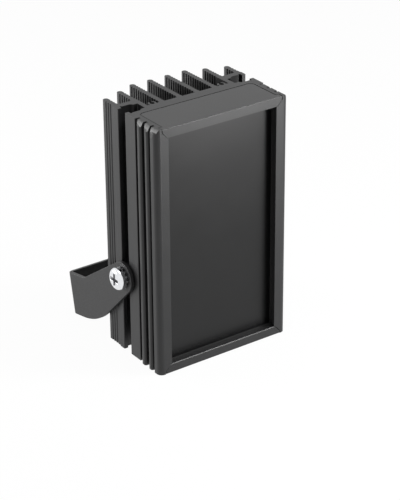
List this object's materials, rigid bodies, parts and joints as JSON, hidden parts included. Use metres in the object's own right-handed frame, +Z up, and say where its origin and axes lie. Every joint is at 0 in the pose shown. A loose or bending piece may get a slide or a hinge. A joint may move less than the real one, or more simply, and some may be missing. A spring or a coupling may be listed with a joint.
{
  "type": "infrared illuminator",
  "caption": "Infrared illuminator with a finned black aluminium body, a dark front window and a tilting U-shaped steel bracket that slides along its sides.",
  "frame": {"origin": "centre of the lower end cap's outer face, on which the lamp stands", "axes": "+Z up along the extrusion, -Y out of the window, +X to the right in a front view"},
  "size_m": [0.0924, 0.0855, 0.135],
  "materials": {
    "anodised_black": "satin black anodised",
    "cap_black": "satin black coated",
    "bracket_black": "fine textured black powder coat",
    "window_dark": "dark infrared-passing window, glossy",
    "rubber_black": "matte",
    "pivot_chrome": "bright plated",
    "zinc_steel": "zinc plated",
    "screw_steel": "stainless",
    "pad_grey": "soft thermal pad",
    "board_white": "white solder resist",
    "board_green": "green solder resist",
    "emitter_yellow": "emitter package with a clear dome",
    "lens_clear": "clear moulded lenses",
    "tray_black": "moulded",
    "brass_plain": "turned",
    "can_aluminium": "drawn can",
    "ferrite_grey": "sintered",
    "chip_black": "moulded",
    "terminal_green": "moulded",
    "photocell_clear": "clear window over a sensor",
    "tinned_wire": "tinned",
    "gland_black": "moulded nylon"
  },
  "bodies": {
    "lamp": {"housing_extrusion": "anodised_black", "top_end_cap": "cap_black", "bottom_end_cap": "cap_black", "top_cap_seal": "rubber_black", "bottom_cap_seal": "rubber_black", "cap_screws": "screw_steel", "front_window": "window_dark", "window_gasket": "rubber_black", "thermal_pad": "pad_grey", "led_board": "board_white", "led_emitters": "emitter_yellow", "led_lenses": "lens_clear", "lens_tray": "tray_black", "tray_screws": "screw_steel", "driver_standoffs": "brass_plain", "driver_board": "board_green", "driver_screws": "screw_steel", "driver_capacitors": "can_aluminium", "driver_inductor": "ferrite_grey", "driver_chips": "chip_black", "terminal_block": "terminal_green", "terminal_screws": "screw_steel", "photocell": "photocell_clear", "board_leads": "tinned_wire", "gland_washer": "rubber_black", "gland_body": "gland_black", "gland_seal": "rubber_black", "gland_nut": "gland_black"},
    "carriage": {"right_t_nut": "zinc_steel", "left_t_nut": "zinc_steel", "right_pivot_screw": "pivot_chrome", "left_pivot_screw": "pivot_chrome", "right_lock_washer": "zinc_steel", "left_lock_washer": "zinc_steel"},
    "bracket": {"u_bracket": "bracket_black"}
  },
  "joints": [
    {"name": "bracket_slide", "type": "slide", "parent": "lamp", "child": "carriage", "axis": [0, 0, 1], "range_m": [-0.036, 0.083]},
    {"name": "bracket_tilt", "type": "hinge", "parent": "carriage", "child": "bracket", "pos_m": [0, 0.01955, 0.044], "axis": [1, 0, 0], "range_deg": [-23, 80]}
  ]
}
